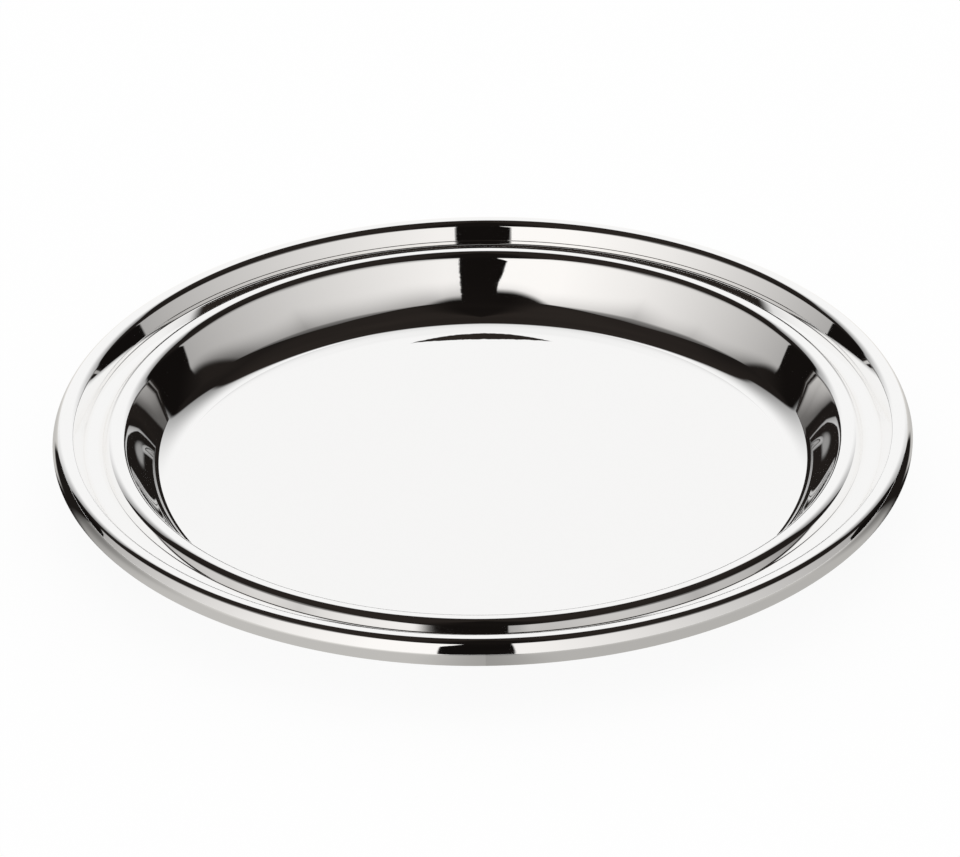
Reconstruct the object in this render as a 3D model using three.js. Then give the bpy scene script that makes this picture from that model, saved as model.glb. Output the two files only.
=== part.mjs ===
// Bottle coaster: a shallow round dish pressed from one plated sheet, with its edge rolled round a
// core wire, standing on a baize disc. Millimetres, +Z up, origin under the middle on the table.
import * as THREE from 'three';

// Overall size, and how the rim steps up and down from the bead
const overallDiameter = 140;
const lipAboveBead = 1.52;
const channelBelowBead = 1.82;
const channelWidth = 2.55;
const crestLand = 0.2;

// Bends of the sheet, on its polished face: radius in millimetres, slope in degrees from level
const sheetThickness = 0.9;
const cornerRadius = 6.5;
const cornerSlope = 55;
const wallRadius = 64;
const wallSlope = 61.3;
const shoulderRadius = 6;
const shoulderSlope = 55;
const beadInnerRadius = 1.8;
const beadOuterRadius = 1.95;
const beadFlankSlope = 54;
const creaseRadius = 0.3;
const channelSlope = -2.6;
const lipInnerSlope = 60.5;
const crestInnerRadius = 1.7;
const crestOuterRadius = 1.44;
const lipShoulderSlope = 56;
const lipSideRadius = 5;
const lipSideSlope = 75;
const lipRollRadius = 2.3;
const lipRollEnd = 200;
const upright = 90;

// Core wire in the rolled edge
const wireRadius = 0.7;
const wireClearance = 0.3;

// Baize disc under the floor and the film that holds it
const padThickness = 1.2;
const adhesiveThickness = 0.2;
const padInset = 2.5;
const adhesiveInset = 1;

// Fineness of the solids
const turnSteps = 56;
const wireSteps = 8;
const bendStep = 24;

// Levels that follow from the stack
const sheetUnderside = padThickness + adhesiveThickness;
const floorLevel = sheetUnderside + sheetThickness;

const sine = (degrees) => Math.sin(THREE.MathUtils.degToRad(degrees));
const cosine = (degrees) => Math.cos(THREE.MathUtils.degToRad(degrees));

// Height that a bend takes up between level and a slope
const bendRise = (radius, slope) => radius * (1 - cosine(slope));

// Length of the straight run that makes up the rest of a rise
function straightRun(rise, slope, ...radii) {
  const left = radii.reduce((rest, radius) => rest - bendRise(radius, slope), rise);
  return left / sine(slope);
}

// The sheet as a press forms it, from the edge of the floor outwards: straight runs and bends.
// A bend with a positive radius turns up, one with a negative radius turns down.
function formingSteps() {
  const flankRun = straightRun(channelBelowBead, beadFlankSlope, beadOuterRadius, creaseRadius);
  const channelRise = channelWidth * sine(channelSlope);
  const lipRise = channelBelowBead + lipAboveBead - channelRise;
  const lipRun = straightRun(lipRise, lipInnerSlope, crestInnerRadius, creaseRadius);
  return [
    { bend: cornerRadius, to: cornerSlope },
    { bend: wallRadius, to: wallSlope },
    { bend: -shoulderRadius, to: shoulderSlope },
    { bend: -beadInnerRadius, to: 0 },
    { bend: -beadOuterRadius, to: -beadFlankSlope },
    { run: flankRun },
    { bend: creaseRadius, to: channelSlope },
    { run: channelWidth },
    { bend: creaseRadius, to: lipInnerSlope },
    { run: lipRun },
    { bend: -crestInnerRadius, to: 0 },
    { run: crestLand },
    { bend: -crestOuterRadius, to: -lipShoulderSlope },
    { bend: -lipSideRadius, to: -lipSideSlope },
    { bend: -lipRollRadius, to: -upright },
    { bend: -lipRollRadius, to: -lipRollEnd },
  ];
}

// Follows the forming steps from a start on the floor. Gives points on the polished face, each with
// the heading of the sheet there.
function followSheet(steps, startRadius) {
  let radius = startRadius;
  let height = floorLevel;
  let heading = 0;
  const trail = [{ radius, height, heading }];
  for (const step of steps) {
    if (step.run !== undefined) {
      radius += step.run * cosine(heading);
      height += step.run * sine(heading);
      trail.push({ radius, height, heading });
      continue;
    }
    const centreRadius = radius - step.bend * sine(heading);
    const centreHeight = height + step.bend * cosine(heading);
    const from = heading;
    const count = Math.ceil(Math.abs(step.to - from) / bendStep);
    for (let i = 1; i <= count; i += 1) {
      heading = from + ((step.to - from) * i) / count;
      radius = centreRadius + step.bend * sine(heading);
      height = centreHeight - step.bend * cosine(heading);
      trail.push({ radius, height, heading });
    }
  }
  return trail;
}

// The formed rim is widest where the roll stands upright, just before its last bend
const outerRadius = overallDiameter / 2;
const rimSteps = formingSteps();
const widest = followSheet(rimSteps.slice(0, -1), 0).at(-1);
const floorRadius = outerRadius - widest.radius;

function turned(profile) {
  return new THREE.LatheGeometry(profile, turnSteps).rotateX(Math.PI / 2);
}

function disc(radius, bottom, thickness) {
  const top = bottom + thickness;
  return turned([
    new THREE.Vector2(0, bottom),
    new THREE.Vector2(radius, bottom),
    new THREE.Vector2(radius, top),
    new THREE.Vector2(0, top),
  ]);
}

// The polished face carried down by the sheet's thickness gives the hidden face
function dishGeometry() {
  const trail = followSheet(rimSteps, floorRadius);
  const polished = trail.map((at) => new THREE.Vector2(at.radius, at.height));
  const hidden = trail.map((at) => new THREE.Vector2(
    at.radius + sheetThickness * sine(at.heading),
    at.height - sheetThickness * cosine(at.heading),
  ));
  const middleUnder = new THREE.Vector2(0, sheetUnderside);
  const middleTop = new THREE.Vector2(0, floorLevel);
  return turned([middleUnder, ...hidden, ...polished.reverse(), middleTop]);
}

// The core wire lies in the roll, against its outer side
function wireGeometry() {
  const ringRadius = outerRadius - sheetThickness - wireClearance - wireRadius;
  const ring = new THREE.TorusGeometry(ringRadius, wireRadius, wireSteps, turnSteps);
  return ring.translate(0, 0, widest.height);
}

const silverPlate = new THREE.MeshStandardMaterial({ color: 0xe8e6e3, metalness: 1, roughness: 0.04 });
const brassWire = new THREE.MeshStandardMaterial({ color: 0xb08d57, metalness: 1, roughness: 0.35 });
const clearFilm = new THREE.MeshStandardMaterial({ color: 0xd9d2bd, metalness: 0, roughness: 0.5 });
const greenBaize = new THREE.MeshStandardMaterial({ color: 0x1f4a33, metalness: 0, roughness: 0.95 });

function piece(name, geometry, material) {
  const mesh = new THREE.Mesh(geometry, material);
  mesh.name = name;
  return mesh;
}

const padRadius = floorRadius - padInset;
const filmRadius = padRadius - adhesiveInset;

const coaster = new THREE.Group();
coaster.add(
  piece('dish', dishGeometry(), silverPlate),
  piece('rim_wire', wireGeometry(), brassWire),
  piece('pad_adhesive', disc(filmRadius, padThickness, adhesiveThickness), clearFilm),
  piece('felt_pad', disc(padRadius, 0, padThickness), greenBaize),
);

export default coaster;
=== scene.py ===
# Bottle coaster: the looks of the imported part, in its own frame, in metres
import math

import bmesh
import bpy
from mathutils import Matrix, Vector, noise


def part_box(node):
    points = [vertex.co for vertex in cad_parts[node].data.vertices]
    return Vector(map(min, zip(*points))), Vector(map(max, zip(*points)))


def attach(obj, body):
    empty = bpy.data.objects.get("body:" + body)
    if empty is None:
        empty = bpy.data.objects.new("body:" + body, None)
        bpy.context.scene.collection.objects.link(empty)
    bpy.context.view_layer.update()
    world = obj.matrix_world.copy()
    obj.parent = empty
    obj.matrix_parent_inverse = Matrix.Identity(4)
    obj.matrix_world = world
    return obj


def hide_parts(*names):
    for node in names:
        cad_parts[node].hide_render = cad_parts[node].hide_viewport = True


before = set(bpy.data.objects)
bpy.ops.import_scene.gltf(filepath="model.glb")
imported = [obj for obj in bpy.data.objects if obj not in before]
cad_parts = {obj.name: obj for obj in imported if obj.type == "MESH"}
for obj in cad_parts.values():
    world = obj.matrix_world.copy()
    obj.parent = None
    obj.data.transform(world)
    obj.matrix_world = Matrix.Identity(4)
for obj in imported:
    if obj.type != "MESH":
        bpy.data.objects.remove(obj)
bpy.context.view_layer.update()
mm = 0.001
print("frame loaded, nodes:", sorted(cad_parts))


# A socket that takes part in sums, and makes any other node

class Flow:
    def __init__(self, tree, socket=None):
        self.tree = tree
        self.socket = socket

    def pick(self, sockets, name):
        if isinstance(name, int):
            return sockets[name]
        for socket in sockets:
            if socket.identifier == name or socket.name == name:
                return socket
        raise KeyError(name)

    def node(self, kind, settings=None, sockets=None, out=0):
        made = self.tree.nodes.new(kind)
        for name, value in (settings or {}).items():
            if name == "stops":  # a ramp: place and colour of each stop
                stops = made.color_ramp.elements
                while len(stops) < len(value):
                    stops.new(1)
                for stop, (place, colour) in zip(stops, value):
                    stop.position = place
                    stop.color = (*colour, 1)
            else:
                setattr(made, name, value)
        for name, value in (sockets or {}).items():
            socket = self.pick(made.inputs, name)
            if isinstance(value, Flow):
                self.tree.links.new(value.socket, socket)
            elif isinstance(value, tuple) and len(value) == 3 and socket.type == "RGBA":
                socket.default_value = (*value, 1)
            else:
                socket.default_value = value
        return Flow(self.tree, self.pick(made.outputs, out) if made.outputs else None)

    def out(self, name):
        return Flow(self.tree, self.pick(self.socket.node.outputs, name))

    def maths(self, operation, first, second=0.0):
        return self.node("ShaderNodeMath", {"operation": operation}, {0: first, 1: second})

    def __add__(self, other):
        return self.maths("ADD", self, other)

    def __radd__(self, other):
        return self.maths("ADD", other, self)

    def __sub__(self, other):
        return self.maths("SUBTRACT", self, other)

    def __rsub__(self, other):
        return self.maths("SUBTRACT", other, self)

    def __mul__(self, other):
        return self.maths("MULTIPLY", self, other)

    def __rmul__(self, other):
        return self.maths("MULTIPLY", other, self)

    def __truediv__(self, other):
        return self.maths("DIVIDE", self, other)

    def __rtruediv__(self, other):
        return self.maths("DIVIDE", other, self)

    def atLeast(self, least):
        return self.maths("MAXIMUM", self, least)

    def within(self, low, high):  # 0 below low, 1 above high, smooth between
        return self.node("ShaderNodeMapRange", {"interpolation_type": "SMOOTHSTEP"},
                         {"Value": self, "From Min": low, "From Max": high})

    def ramp(self, start, end, first, last):  # first up to start, last from end on
        return first + (last - first) * self.within(start, end)

    def curve(self, points):  # through points of this value and the result, straight between them
        low, high = min(y for x, y in points), max(y for x, y in points)
        start, end = points[0][0], points[-1][0]
        stops = [((x - start) / (end - start), ((y - low) / (high - low),) * 3) for x, y in points]
        along = (self - start) / (end - start)
        ramp = self.node("ShaderNodeValToRGB", {"stops": stops}, {"Fac": along}, "Color")
        return low + ramp * (high - low)

    def blend(self, first, second):  # colours, by this value
        return self.node("ShaderNodeMix", {"data_type": "RGBA"},
                         {"Factor_Float": self, "A_Color": first, "B_Color": second}, "Result_Color")


def startFinish(name):
    material = bpy.data.materials.new(name)
    material.use_nodes = True
    material.node_tree.nodes.clear()
    return material, Flow(material.node_tree)


def endFinish(flow, shader):
    flow.node("ShaderNodeOutputMaterial", None, {"Surface": shader})


def keepMesh(name, bm, material):
    mesh = bpy.data.meshes.new(name)
    bm.to_mesh(mesh)
    bm.free()
    mesh.materials.append(material)
    made = bpy.data.objects.new(name, mesh)
    bpy.context.scene.collection.objects.link(made)
    return made


# Camera

view = {
    "elevation": 30.1,
    "distance": 1.0,
    "roll": -0.75,
    "aimHeight": 0.01117,
    "focalPixels": 6135,
    "imageWide": 960,
    "offsetRight": 2.5,  # pixels that the aim point stands right of the middle
    "offsetDown": 1.15,
}


def setCamera():
    data = bpy.data.cameras.new("camera")
    camera = bpy.data.objects.new("camera", data)
    bpy.context.scene.collection.objects.link(camera)
    data.sensor_width = 36
    data.lens = view["focalPixels"] / view["imageWide"] * data.sensor_width
    data.clip_start, data.clip_end = 0.01, 50
    tilt = math.radians(view["elevation"])
    back = Vector((0, -math.cos(tilt), math.sin(tilt)))
    right, up = Vector((1, 0, 0)), Vector((0, math.sin(tilt), math.cos(tilt)))
    perPixel = view["distance"] / view["focalPixels"]
    aim = Vector((0, 0, view["aimHeight"]))
    aim += up * view["offsetDown"] * perPixel - right * view["offsetRight"] * perPixel
    camera.location = aim + back * view["distance"]
    camera.rotation_euler = (math.pi / 2 - tilt, 0, 0)
    camera.rotation_euler.rotate_axis("Z", math.radians(view["roll"]))
    bpy.context.scene.camera = camera
    bpy.context.scene.view_settings.view_transform = "Standard"


setCamera()
print("camera set")


# Studio: white surroundings, and a dim room with lit panels that only the polished metal sees

studio = {
    "white": (1, 1, 1),
    "dim": (0.0118, 0.0098, 0.0088),
    "dimHigh": (0.0235, 0.019, 0.0165),
    "black": (0.003, 0.0024, 0.0022),
    "panelLit": (1.0, 0.98, 0.96),
    "tableLit": (1.0, 0.98, 0.945),
    "tableRadius": 1.5,
    "floorGlow": 0.92,
    "floorColour": (0.95, 0.95, 0.95),
    "floorRadius": 4, "floorDrop": 0.3, "tableDrop": 0.1,  # the drops in millimetres
    "roomRadius": 6,
    "ragged": 1.2,  # degrees that the panels' near edges wander
}

# What stands round the dish, by compass side in degrees, 0 behind it and 180 in front.
# A gradient has the sides it runs between and its values there.
backdrop = {
    "top": [(0, 64.5), (20, 62), (42, 51), (64, 32)],
    "level": (24, 64, 0.945, 0.22),
    "side": 51.8, "sideHigh": 60,
}
rightPanel = {
    "far": 70.5, "near": 172.8, "nearHigh": 172.8,
    "low": [(70.5, 12), (76, 7), (80, -40)],
    "rise": (64, 122, 12, 46), "fall": (130, 170, 0, 6),  # of the top edge
    "level": [(70, 0.38), (168, 0.92)],
    "late": [(70, 0.3), (114, 0), (166, 0.28)],  # how much further up the light reaches
}
leftPanel = {
    "far": 67, "near": 168.4, "nearHigh": 174,
    "low": [(67, 10.7), (70, 5), (73, -40)],
    "rise": (60, 114, 10, 47.5), "fall": (124, 170, 0, 9.5),
    "level": [(67, 0.4), (124, 0.86), (152, 1)],
    "late": [(67, 0.34), (100, 0), (122, 0.01), (157, 0.34)],
}
panelFade = {"main": (0.57, 0.84, 1, 0.2), "tail": (0.84, 1.05, 0, 0.15)}  # light by share of the top's height
# The table: close to the dish, and far off
table = {
    "back": (25, 75, 0.98, 0.53), "backFar": (12, 56, 0.95, 0.5),
    "left": (76, 130, 0.08, 0.52), "leftFar": (50, 140, 0.15, 0.78),
    "right": (80, 112, 0.08, 0.45), "rightFar": (58, 92, 0.2, 0.55),
    "gapClose": (168, 180, 1, 0.7),  # a dark gap in front
    "leftGap": (168.8, 172.2, 1, 0.3), "rightGap": (170.8, 174.2, 1, 0.36),
    "closeTo": 100, "farFrom": 500,  # millimetres from the middle
    "sweepFrom": 63, "sweepLean": 0.92, "sweepLeast": 89,  # the white sweep's edge, out from the dish's side
    "frontFrom": 105, "frontLean": 0.48,  # the front cloth's edge
}
# A low white card round the far half of the floor, which the floor close to it mirrors in place of the wall: a
# painted reflection that only the metal sees, with painted shade towards its foot and a painted dark line
# across it
collar = {"radius": 50.75, "tall": 7.9, "reach": 78, "fadeFrom": 54, "step": 1.25, "shownTo": (16.5, 21),
          # painted shade: the card dims to footLevel over its lowest footTall millimetres
          "level": 0.945, "footLevel": 0.72, "footTall": 1.7,
          # a painted dark line across the card, which the floor shows as a dark reflection: height, half
          # thickness and rise at the ends in millimetres, half length in degrees
          "paintedLineHeight": 2.12, "paintedLineTall": 0.57, "paintedLineLift": 0.34, "paintedLineHalf": 13.6, "ragged": 0.25}


def forMetalOnly(piece):  # shows in the polished metal, and lights nothing else
    piece.visible_camera = False
    piece.visible_diffuse = False
    piece.visible_shadow = False


def setWorld():
    world = bpy.data.worlds.new("whiteRoom")
    bpy.context.scene.world = world
    world.use_nodes = True
    world.node_tree.nodes.clear()
    flow = Flow(world.node_tree)
    sky = flow.node("ShaderNodeBackground", None, {"Color": studio["white"], "Strength": 1.0})
    flow.node("ShaderNodeOutputWorld", None, {"Surface": sky})


def layFloor():
    material, flow = startFinish("paleFloor")
    path = flow.node("ShaderNodeLightPath")
    seen = path.out("Is Camera Ray") + path.out("Is Glossy Ray") + path.out("Is Transmission Ray")
    lit = flow.node("ShaderNodeBsdfDiffuse", None, {"Color": studio["floorColour"]})
    glow = flow.node("ShaderNodeEmission", None, {"Color": studio["white"], "Strength": 1.0})
    top = flow.node("ShaderNodeMixShader", None, {0: seen * studio["floorGlow"], 1: lit, 2: glow})
    under = flow.node("ShaderNodeBsdfTransparent")
    back = flow.node("ShaderNodeNewGeometry", None, None, "Backfacing")
    endFinish(flow, flow.node("ShaderNodeMixShader", None, {0: back, 1: top, 2: under}))
    bm = bmesh.new()
    bmesh.ops.create_circle(bm, cap_ends=True, segments=96, radius=studio["floorRadius"])
    bmesh.ops.translate(bm, verts=bm.verts[:], vec=(0, 0, -studio["floorDrop"] * mm))
    floor = keepMesh("floor", bm, material)
    floor.visible_diffuse = False
    floor.visible_shadow = False


def layTable():  # the table round the dish, as the polished lip shows it
    material, flow = startFinish("shadedTable")
    place = flow.node("ShaderNodeTexCoord", None, None, "Object")
    x = flow.node("ShaderNodeSeparateXYZ", None, {"Vector": place}, "X")
    bearing = flow.maths("ARCTAN2", x, x.out("Y")) * math.degrees(1)
    side = flow.maths("ABSOLUTE", bearing)
    away = flow.node("ShaderNodeVectorMath", {"operation": "LENGTH"}, {0: place}, "Value") / mm
    times = table["farFrom"] / table["closeTo"]
    off = flow.maths("LOGARITHM", (away / table["closeTo"]).atLeast(1), times).within(0, 1)
    across, ahead = flow.maths("ABSOLUTE", x) / mm, x.out("Y") / mm
    onRight = bearing.within(-0.1, 0.1)

    def spread(close, far):
        return side.ramp(*table[close]) * (1 - off) + side.ramp(*table[far]) * off

    def gap(far):
        return side.ramp(*table["gapClose"]) * (1 - off) + side.ramp(*table[far]) * off

    front = spread("left", "leftFar") * gap("leftGap") * (1 - onRight)
    front = front + spread("right", "rightFar") * gap("rightGap") * onRight
    front = front * (1 - (ahead - table["frontLean"] * (across - table["frontFrom"])).within(-6, 6))
    edge = (table["sweepFrom"] + table["sweepLean"] * ahead).atLeast(table["sweepLeast"])
    sweep = spread("back", "backFar") * (1 - (across / edge).within(0.96, 1.03)) * ahead.within(2, 12)
    level = flow.maths("MAXIMUM", front, sweep)
    colour = level.blend(studio["dim"], studio["tableLit"])
    endFinish(flow, flow.node("ShaderNodeEmission", None, {"Color": colour, "Strength": 1.0}))
    bm = bmesh.new()
    bmesh.ops.create_circle(bm, cap_ends=True, segments=96, radius=studio["tableRadius"])
    bmesh.ops.translate(bm, verts=bm.verts[:], vec=(0, 0, -studio["tableDrop"] * mm))
    forMetalOnly(keepMesh("shadedTable", bm, material))


def panelLight(p, side, height, wander):
    top = side.ramp(*p["rise"]) - side.ramp(*p["fall"])
    near = p["near"] + height.within(25, 38) * (p["nearHigh"] - p["near"]) + wander
    wide = (side - p["far"]).within(-0.5, 0.5) * (1 - (side - near).within(-0.3, 0.3))
    tall = (1 - (height - top).within(-1, 1)) * (height - side.curve(p["low"])).within(-0.6, 0.6)
    share = height / top - side.curve(p["late"])
    light = share.ramp(*panelFade["main"]) - share.ramp(*panelFade["tail"])
    return wide * tall * side.curve(p["level"]) * light


def raiseRoom():
    material, flow = startFinish("room")
    place = flow.node("ShaderNodeTexCoord", None, None, "Object")
    ahead = flow.node("ShaderNodeVectorMath", {"operation": "NORMALIZE"}, {0: place}, "Vector")
    x = flow.node("ShaderNodeSeparateXYZ", None, {"Vector": ahead}, "X")
    bearing = flow.maths("ARCTAN2", x, x.out("Y")) * math.degrees(1)
    height = flow.maths("ARCSINE", x.out("Z")) * math.degrees(1)
    side = flow.maths("ABSOLUTE", bearing)
    onRight = bearing.within(-0.1, 0.1)
    patch = flow.node("ShaderNodeTexNoise", None, {"Vector": place, "Scale": 0.35, "Detail": 1.0}, "Fac")
    shred = flow.node("ShaderNodeTexNoise", None, {"Vector": place, "Scale": 22.0, "Detail": 3.0}, "Fac")
    wander = (shred - 0.5) * studio["ragged"]
    right = panelLight(rightPanel, side, height, wander) * onRight
    left = panelLight(leftPanel, side, height, wander) * (1 - onRight)
    edge = backdrop["side"] + height.within(8, 38) * (backdrop["sideHigh"] - backdrop["side"])
    tall = 1 - (height - side.curve(backdrop["top"])).within(-2.5, 2.5)
    cloth = tall * (1 - (side - edge).within(-1.5, 1.5)) * side.ramp(*backdrop["level"])
    cloth = cloth * (1 - side.within(41, 44) * (1 - height.within(1, 3.5)))
    high = 0.4 * patch.within(0.35, 0.7) + 0.6 * height.within(32, 52)
    dim = high.blend(studio["dim"], studio["dimHigh"])
    deep = flow.maths("MAXIMUM", side.within(150, 171), 1 - height.within(9, 17))
    dim = (0.75 * deep).blend(dim, studio["black"])
    colour = flow.maths("MAXIMUM", right, left).blend(dim, studio["panelLit"])
    colour = cloth.blend(colour, studio["white"])
    endFinish(flow, flow.node("ShaderNodeEmission", None, {"Color": colour, "Strength": 1.0}))
    bm = bmesh.new()
    bmesh.ops.create_uvsphere(bm, u_segments=96, v_segments=48, radius=studio["roomRadius"])
    forMetalOnly(keepMesh("room", bm, material))


def ringCard(name, start, end, low, tall, material):  # part of a ring, by compass side, facing the middle
    bm = bmesh.new()
    foot = bm.verts.new((0, collar["radius"] * mm, (dish["floorLevel"] + low) * mm))
    head = bm.verts.new((0, collar["radius"] * mm, (dish["floorLevel"] + low + tall) * mm))
    bmesh.ops.contextual_create(bm, geom=[foot, head])
    turned = Matrix.Rotation(-math.radians(end), 3, "Z")
    bmesh.ops.rotate(bm, verts=bm.verts[:], cent=(0, 0, 0), matrix=turned)
    bmesh.ops.spin(bm, geom=bm.verts[:] + bm.edges[:], cent=(0, 0, 0), axis=(0, 0, 1),
                   angle=math.radians(end - start), steps=math.ceil((end - start) / collar["step"]))
    for face in bm.faces:
        if face.normal.dot(face.calc_center_median()) > 0:
            face.normal_flip()
    forMetalOnly(keepMesh(name, bm, material))


def standCollar():
    c = collar
    material, flow = startFinish("collar")
    place = flow.node("ShaderNodeTexCoord", None, None, "Object")
    x = flow.node("ShaderNodeSeparateXYZ", None, {"Vector": place}, "X")
    bearing = flow.maths("ARCTAN2", x, x.out("Y")) * math.degrees(1)
    # the painted dark line: thickest in the middle, thinning to nothing at its ends, with a ragged edge
    turn = bearing / c["paintedLineHalf"]
    rise = x.out("Z") / mm - dish["floorLevel"]
    shred = flow.node("ShaderNodeTexNoise", None, {"Vector": place, "Scale": 900.0, "Detail": 2.0}, "Fac")
    bow = turn * turn
    off = flow.maths("ABSOLUTE", rise - c["paintedLineHeight"] - c["paintedLineLift"] * bow + (shred - 0.5) * c["ragged"])
    paintedLine = 1 - (off - c["paintedLineTall"] * (1 - bow)).within(-0.05, 0.05)
    # painted shade: darker towards the card's foot
    level = c["footLevel"] + (c["level"] - c["footLevel"]) * rise.within(0, c["footTall"])
    colour = (level * (1 - paintedLine)).blend(studio["dimHigh"], studio["white"])
    glow = flow.node("ShaderNodeEmission", None, {"Color": colour, "Strength": 1.0})
    clear = flow.node("ShaderNodeBsdfTransparent")
    outside = flow.node("ShaderNodeNewGeometry", None, None, "Backfacing")
    later = flow.maths("GREATER_THAN", flow.node("ShaderNodeLightPath", None, None, "Ray Depth"), 1.5)
    length = flow.node("ShaderNodeLightPath", None, None, "Ray Length")
    far = (length / mm).within(*c["shownTo"])
    ends = flow.maths("ABSOLUTE", bearing).within(c["fadeFrom"], c["reach"])
    hidden = flow.maths("MAXIMUM", flow.maths("MAXIMUM", outside, later), flow.maths("MAXIMUM", far, ends))
    endFinish(flow, flow.node("ShaderNodeMixShader", None, {0: hidden, 1: glow, 2: clear}))
    ringCard("collar", -c["reach"], c["reach"], 0, c["tall"], material)


setWorld()
layFloor()
layTable()
raiseRoom()


# Dish: one pressed sheet, followed from the middle of the floor to the rolled edge

dish = {
    "diameter": 140,
    "lipRise": 1.52,  # above the bead
    "channelDrop": 1.82,  # below the bead
    "channelWidth": 2.55,
    "channelSlope": -2.6,
    "floorLevel": 2.3,
    "sheet": 0.9,
    "corner": 6.5,  # radii of the bends, with the slopes they reach
    "cornerSlope": 55,
    "wall": 64,
    "wallSlope": 61.3,
    "shoulder": 6,
    "shoulderSlope": 55,
    "beadInner": 1.8,
    "beadOuter": 1.95,
    "beadFlank": 54,
    "crease": 0.3,
    "lipInner": 60.5,
    "footRun": 0.42,  # a fine line stands this far above the crease
    "footLine": 0.08,
    "footBend": 0.06,
    "footSlope": 30,
    "lipCrestInner": 1.7,
    "crestLand": 0.2,
    "lipCrestOuter": 1.44,
    "lipShoulder": 56,
    "lipSide": 5,
    "lipSideSlope": 75,
    "lipRoll": 2.3,
    "lipRollEnd": 200,
    "fineStep": 2.2,  # degrees of bend to a facet, polished face
    "coarseStep": 12,
    "turns": 240,
}


def straightLeft(rise, slope, *bends):
    turned = sum(bends) * (1 - math.cos(math.radians(slope)))
    return (rise - turned) / math.sin(math.radians(slope))


def pressSteps():
    d = dish
    flank = straightLeft(d["channelDrop"], d["beadFlank"], d["beadOuter"], d["crease"])
    channelRise = d["channelWidth"] * math.sin(math.radians(d["channelSlope"]))
    lipRise = d["lipRise"] + d["channelDrop"] - channelRise
    lipRise -= d["footLine"] * math.sin(math.radians(d["footSlope"]))
    footTurn = math.cos(math.radians(d["footSlope"])) - math.cos(math.radians(d["lipInner"]))
    lipRise -= 2 * d["footBend"] * footTurn
    inner = straightLeft(lipRise, d["lipInner"], d["lipCrestInner"], d["crease"])
    return [
        ("bend", d["corner"], d["cornerSlope"]),
        ("bend", d["wall"], d["wallSlope"]),
        ("bend", -d["shoulder"], d["shoulderSlope"]),
        ("bend", -d["beadInner"], 0),
        ("bend", -d["beadOuter"], -d["beadFlank"]),
        ("run", flank),
        ("bend", d["crease"], d["channelSlope"]),
        ("run", d["channelWidth"]),
        ("bend", d["crease"], d["lipInner"]),
        ("run", d["footRun"]),
        ("bend", -d["footBend"], d["footSlope"]),
        ("run", d["footLine"]),
        ("bend", d["footBend"], d["lipInner"]),
        ("run", inner - d["footRun"]),
        ("bend", -d["lipCrestInner"], 0),
        ("run", d["crestLand"]),
        ("bend", -d["lipCrestOuter"], -d["lipShoulder"]),
        ("bend", -d["lipSide"], -d["lipSideSlope"]),
        ("bend", -d["lipRoll"], -90),
        ("bend", -d["lipRoll"], -d["lipRollEnd"]),
    ]


def reachOf(steps):  # how far out a list of steps gets
    reach, heading = 0, 0
    for kind, size, *to in steps:
        if kind == "run":
            reach += size * math.cos(math.radians(heading))
        else:
            reach += size * (math.sin(math.radians(to[0])) - math.sin(math.radians(heading)))
            heading = to[0]
    return reach


def runOut(bm, last, length, heading):  # short ends keep the bend's shading off the straight
    ahead = Vector((math.cos(math.radians(heading)), 0, math.sin(math.radians(heading))))
    for share in (0.03, 0.94, 0.03):
        last = bmesh.ops.extrude_vert_indiv(bm, verts=[last])["verts"][0]
        bmesh.ops.translate(bm, verts=[last], vec=ahead * length * share * mm)
    return last


def followSheet(bm, level, floorRadius, extra, step):
    last = bm.verts.new((0, 0, level * mm))
    last = runOut(bm, last, floorRadius, 0)
    heading = 0
    for kind, size, *to in pressSteps():
        if kind == "run":
            last = runOut(bm, last, size, heading)
            continue
        radius = (size + extra) * mm
        aside = Vector((-math.sin(math.radians(heading)), 0, math.cos(math.radians(heading))))
        turn = to[0] - heading
        made = bmesh.ops.spin(bm, geom=[last], cent=last.co + aside * radius, axis=(0, -1, 0),
                              angle=math.radians(turn), steps=math.ceil(abs(turn) / step))
        last = [v for v in made["geom_last"] if isinstance(v, bmesh.types.BMVert)][0]
        heading = to[0]
    return last


def closeRound(bm, turns):  # a profile turned once about the dish's axis
    bmesh.ops.spin(bm, geom=bm.verts[:] + bm.edges[:], cent=(0, 0, 0), axis=(0, 0, 1),
                   angle=2 * math.pi, steps=turns, use_merge=True)
    bmesh.ops.remove_doubles(bm, verts=bm.verts[:], dist=1e-7)
    bmesh.ops.recalc_face_normals(bm, faces=bm.faces[:])
    for face in bm.faces:
        face.smooth = True
    for edge in bm.edges:
        edge.smooth = edge.calc_face_angle(0) < math.radians(35)


def pressDish(material):
    bm = bmesh.new()
    floorRadius = dish["diameter"] / 2 - reachOf(pressSteps()[:-1])
    top = followSheet(bm, dish["floorLevel"], floorRadius, 0, dish["fineStep"])
    underLevel = dish["floorLevel"] - dish["sheet"]
    under = followSheet(bm, underLevel, floorRadius, dish["sheet"], dish["coarseStep"])
    bmesh.ops.contextual_create(bm, geom=[top, under])
    closeRound(bm, dish["turns"])
    print("dish:", len(bm.faces), "faces, floor", round(2 * floorRadius, 1), "mm across")
    return keepMesh("pressedDish", bm, material)


silver = {
    "plate": (0.972, 0.968, 0.962),
    "tarnish": (0.9, 0.875, 0.84),
    "under": (0.8, 0.77, 0.72),
    "rough": 0.014, "roughMore": 0.02,
    "wave": 0.000004,  # metres that the polish wanders
    "creases": [62.1, 64.85],  # millimetres from the middle, where polish stays behind
    "film": 0.3, "filmRough": 0.06, "speckRough": 0.05, "underRough": 0.25,
}


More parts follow.
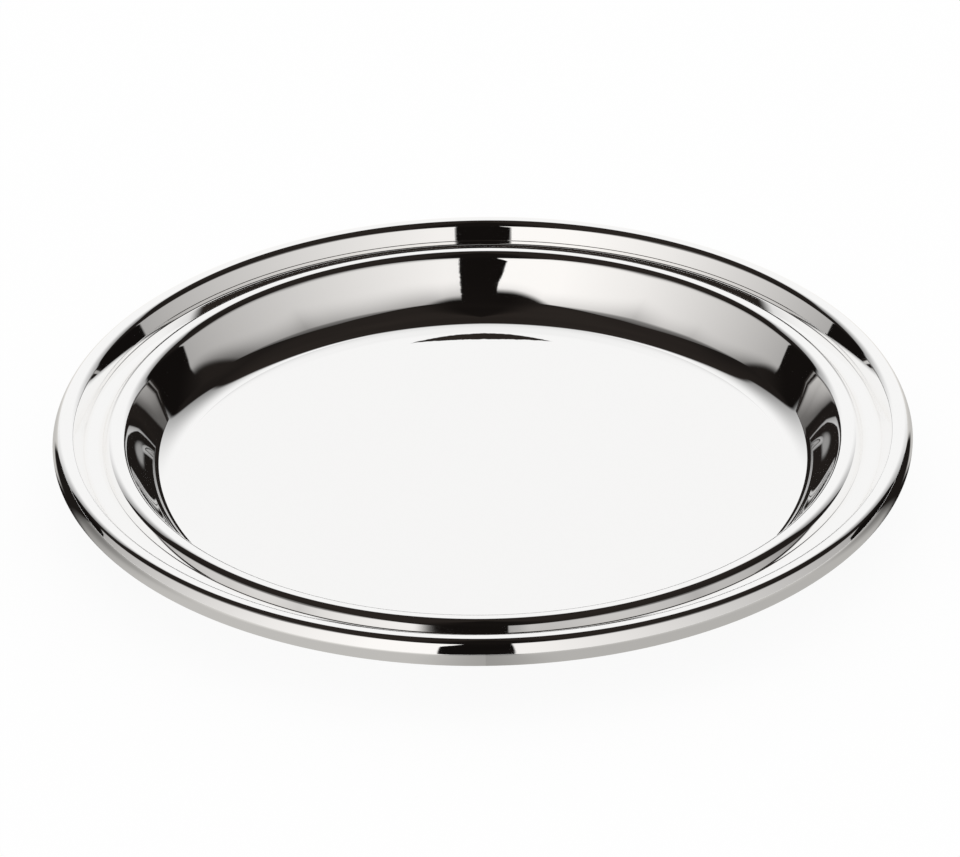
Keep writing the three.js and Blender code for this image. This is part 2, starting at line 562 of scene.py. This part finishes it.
def silverFinish():
    material, flow = startFinish("silverPlate")
    place = flow.node("ShaderNodeTexCoord", None, None, "Object")
    x = flow.node("ShaderNodeSeparateXYZ", None, {"Vector": place}, "X")
    y, z = x.out("Y"), x.out("Z") / mm
    away = flow.maths("SQRT", x * x + y * y) / mm
    facing = flow.node("ShaderNodeNewGeometry", None, None, "Normal")
    facing = flow.node("ShaderNodeSeparateXYZ", None, {"Vector": facing}, "Z")
    hidden = (1 - z.within(1.5, 2.2)) * (1 - facing.within(-0.6, -0.2))
    mottle = flow.node("ShaderNodeTexNoise", None, {"Vector": place, "Scale": 60.0, "Detail": 4.0}, "Fac")
    fine = flow.node("ShaderNodeTexNoise", None, {"Vector": place, "Scale": 2500.0, "Detail": 2.0}, "Fac")
    specks = flow.node("ShaderNodeTexVoronoi", None, {"Vector": place, "Scale": 260.0}, "Distance")
    speck = (1 - specks.within(0.03, 0.06)) * mottle.within(0.5, 0.62)
    film = 0
    for radius in silver["creases"]:
        film = film + (1 - flow.maths("ABSOLUTE", away - radius).within(0.1, 0.7))
    film = film * (0.35 + 0.65 * mottle.within(0.35, 0.65)) * silver["film"]
    colour = film.blend(silver["plate"], silver["tarnish"])
    colour = hidden.blend(colour, silver["under"])
    rough = silver["rough"] + silver["roughMore"] * fine.within(0.3, 0.75) + silver["speckRough"] * speck
    rough = rough + silver["filmRough"] * film + silver["underRough"] * hidden
    swell = flow.node("ShaderNodeTexNoise", None, {"Vector": place, "Scale": 45.0, "Detail": 1.0}, "Fac")
    bump = flow.node("ShaderNodeBump", None, {"Height": swell, "Distance": silver["wave"], "Strength": 1.0})
    shader = flow.node("ShaderNodeBsdfPrincipled", None, {
        "Base Color": colour, "Metallic": 1.0, "Roughness": rough, "Normal": bump})
    endFinish(flow, shader)
    return material


standCollar()
print("studio set")
pressedDish = pressDish(silverFinish())
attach(pressedDish, "root")
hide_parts("dish")
print("dish pressed")


# Core wire that the edge is rolled round

rimWire = {
    "segments": 14, "turns": 180,
    "brass": (0.69, 0.52, 0.3), "dull": (0.42, 0.29, 0.16),
    "drawn": 0.00002,  # metres that the drawing marks stand
}


def brassFinish():
    material, flow = startFinish("drawnBrass")
    place = flow.node("ShaderNodeTexCoord", None, None, "Object")
    x = flow.node("ShaderNodeSeparateXYZ", None, {"Vector": place}, "X")
    y, z = x.out("Y"), x.out("Z")
    away = flow.maths("SQRT", x * x + y * y)
    along = flow.maths("ARCTAN2", y, x) * 0.01  # the wire drawn out, so streaks run along it
    drawn = flow.node("ShaderNodeCombineXYZ", None, {"X": away, "Y": z, "Z": along}, "Vector")
    streak = flow.node("ShaderNodeTexNoise", None, {"Vector": drawn, "Scale": 6000.0, "Detail": 3.0}, "Fac")
    cloud = flow.node("ShaderNodeTexNoise", None, {"Vector": place, "Scale": 90.0, "Detail": 4.0}, "Fac")
    old = cloud.within(0.4, 0.7) * 0.7
    colour = (old + 0.25 * streak).blend(rimWire["brass"], rimWire["dull"])
    rough = 0.26 + 0.22 * streak + 0.15 * old
    marks = {"Height": streak, "Distance": rimWire["drawn"], "Strength": 1.0}
    bump = flow.node("ShaderNodeBump", None, marks)
    shader = flow.node("ShaderNodeBsdfPrincipled", None, {
        "Base Color": colour, "Metallic": 1.0, "Roughness": rough, "Normal": bump})
    endFinish(flow, shader)
    return material


def bendWire(material):
    low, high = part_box("rim_wire")
    radius = (high.z - low.z) / 2
    bm = bmesh.new()
    bmesh.ops.create_circle(bm, segments=rimWire["segments"], radius=radius)
    bmesh.ops.rotate(bm, verts=bm.verts[:], cent=(0, 0, 0), matrix=Matrix.Rotation(math.pi / 2, 3, "X"))
    bmesh.ops.translate(bm, verts=bm.verts[:], vec=(high.x - radius, 0, (low.z + high.z) / 2))
    closeRound(bm, rimWire["turns"])
    return keepMesh("coreWire", bm, material)


coreWire = bendWire(brassFinish())
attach(coreWire, "root")
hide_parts("rim_wire")
print("wire bent")


# Film of dried adhesive between the dish and the baize

adhesive = {
    "turns": 128,
    "ragged": 0.9, "lip": 0.4,  # millimetres
    "clear": (0.86, 0.81, 0.68), "brown": (0.6, 0.47, 0.27),
    "strokes": 0.00008,  # metres
}


def adhesiveFinish():
    material, flow = startFinish("driedAdhesive")
    place = flow.node("ShaderNodeTexCoord", None, None, "Object")
    stroke = {"Vector": place, "Rotation": (0, 0, 0.6), "Scale": (30, 220, 30)}
    brushed = flow.node("ShaderNodeMapping", None, stroke, "Vector")
    strokes = flow.node("ShaderNodeTexNoise", None, {"Vector": brushed, "Scale": 1.0, "Detail": 4.0}, "Fac")
    cloud = flow.node("ShaderNodeTexNoise", None, {"Vector": place, "Scale": 55.0, "Detail": 5.0}, "Fac")
    thick = 0.6 * strokes + 0.4 * cloud
    colour = thick.within(0.35, 0.7).blend(adhesive["clear"], adhesive["brown"])
    ridges = {"Height": thick, "Distance": adhesive["strokes"], "Strength": 1.0}
    bump = flow.node("ShaderNodeBump", None, ridges)
    shader = flow.node("ShaderNodeBsdfPrincipled", None, {
        "Base Color": colour, "Roughness": 0.32 + 0.3 * cloud, "Normal": bump})
    endFinish(flow, shader)
    return material


def spreadFilm(material):
    low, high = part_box("pad_adhesive")
    bm = bmesh.new()
    bmesh.ops.create_circle(bm, cap_ends=True, segments=adhesive["turns"], radius=high.x)
    bmesh.ops.translate(bm, verts=bm.verts[:], vec=(0, 0, low.z))
    rise = bmesh.ops.extrude_face_region(bm, geom=bm.faces[:])["geom"]
    lifted = [v for v in rise if isinstance(v, bmesh.types.BMVert)]
    bmesh.ops.translate(bm, verts=lifted, vec=(0, 0, high.z - low.z))
    bmesh.ops.recalc_face_normals(bm, faces=bm.faces[:])
    caps = [face for face in bm.faces if len(face.verts) > 4]
    bmesh.ops.inset_region(bm, faces=caps, thickness=adhesive["lip"] * mm, use_even_offset=True)
    for vert in bm.verts:  # brushed on by hand, so its edge wanders inwards
        wander = 0.5 + 0.5 * noise.noise(Vector((vert.co.x, vert.co.y, 0)) * 120)
        vert.co.xy *= 1 - adhesive["ragged"] * mm * wander / high.x
    for face in bm.faces:
        face.smooth = len(face.verts) == 4
    for edge in bm.edges:
        edge.smooth = edge.calc_face_angle(0) < math.radians(35)
    return keepMesh("adhesiveFilm", bm, material)


adhesiveFilm = spreadFilm(adhesiveFinish())
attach(adhesiveFilm, "root")
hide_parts("pad_adhesive")
print("adhesive spread")


# Baize disc that the dish stands on

baize = {
    "rings": 44, "turns": 192,
    "edge": 0.35, "nap": 0.07,  # millimetres
    "pile": (0.045, 0.15, 0.085), "light": (0.11, 0.27, 0.16), "dark": (0.02, 0.075, 0.042),
    "fibre": 0.00025,  # metres
}


def baizeFinish():
    material, flow = startFinish("greenBaize")
    place = flow.node("ShaderNodeTexCoord", None, None, "Object")
    cloud = flow.node("ShaderNodeTexNoise", None, {"Vector": place, "Scale": 70.0, "Detail": 3.0}, "Fac")
    bent = flow.node("ShaderNodeTexNoise", None, {"Vector": place, "Scale": 500.0, "Detail": 2.0}, "Color")
    swirl = flow.node("ShaderNodeVectorMath", {"operation": "SCALE"}, {0: bent, "Scale": 0.006}, "Vector")
    swirl = flow.node("ShaderNodeVectorMath", {"operation": "ADD"}, {0: place, 1: swirl}, "Vector")
    fibres = None
    for turn in (0.3, 1.4, 2.5):  # matted fibres lying three ways
        lie = {"Vector": swirl, "Rotation": (0, 0, turn), "Scale": (500, 4200, 1800)}
        laid = flow.node("ShaderNodeMapping", None, lie, "Vector")
        strand = flow.node("ShaderNodeTexNoise", None, {"Vector": laid, "Scale": 1.0, "Detail": 2.0}, "Fac")
        fibres = strand if fibres is None else flow.maths("MAXIMUM", fibres, strand)
    tuft = fibres.within(0.45, 0.75)
    colour = tuft.blend(baize["dark"], baize["pile"])
    colour = (tuft * cloud.within(0.4, 0.75)).blend(colour, baize["light"])
    bump = flow.node("ShaderNodeBump", None, {"Height": fibres, "Distance": baize["fibre"], "Strength": 0.9})
    shader = flow.node("ShaderNodeBsdfPrincipled", None, {
        "Base Color": colour, "Roughness": 0.84 + 0.12 * tuft, "Normal": bump,
        "Sheen Weight": 0.35, "Sheen Roughness": 0.45, "Sheen Tint": (0.45, 0.7, 0.52)})
    endFinish(flow, shader)
    return material


def cutBaize(material):
    low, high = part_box("felt_pad")
    radius, soft = high.x, baize["edge"] * mm
    bm = bmesh.new()
    last = bm.verts.new((0, 0, low.z))
    for i in range(baize["rings"]):
        last = bmesh.ops.extrude_vert_indiv(bm, verts=[last])["verts"][0]
        bmesh.ops.translate(bm, verts=[last], vec=((radius - soft) / baize["rings"], 0, 0))
    for turn in range(2):  # the cut edge, worn round below and above
        inwards = Vector((0, 0, soft)) if turn == 0 else Vector((-soft, 0, 0))
        made = bmesh.ops.spin(bm, geom=[last], cent=last.co + inwards, axis=(0, -1, 0),
                              angle=math.pi / 2, steps=4)
        last = [v for v in made["geom_last"] if isinstance(v, bmesh.types.BMVert)][0]
        if turn == 0:
            last = bmesh.ops.extrude_vert_indiv(bm, verts=[last])["verts"][0]
            bmesh.ops.translate(bm, verts=[last], vec=(0, 0, high.z - low.z - 2 * soft))
    for i in range(baize["rings"]):
        last = bmesh.ops.extrude_vert_indiv(bm, verts=[last])["verts"][0]
        bmesh.ops.translate(bm, verts=[last], vec=(-(radius - soft) / baize["rings"], 0, 0))
    closeRound(bm, baize["turns"])
    half = (low.z + high.z) / 2
    for vert in bm.verts:  # the nap stands unevenly, never past the cut size
        give = baize["nap"] * mm * (0.5 + 0.5 * noise.noise(vert.co * 900))
        vert.co.z += give if vert.co.z < half else -give
        vert.co.xy *= 1 - give / radius
    for face in bm.faces:
        face.smooth = True
    return keepMesh("baizeDisc", bm, material)


baizeDisc = cutBaize(baizeFinish())
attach(baizeDisc, "root")
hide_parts("felt_pad")
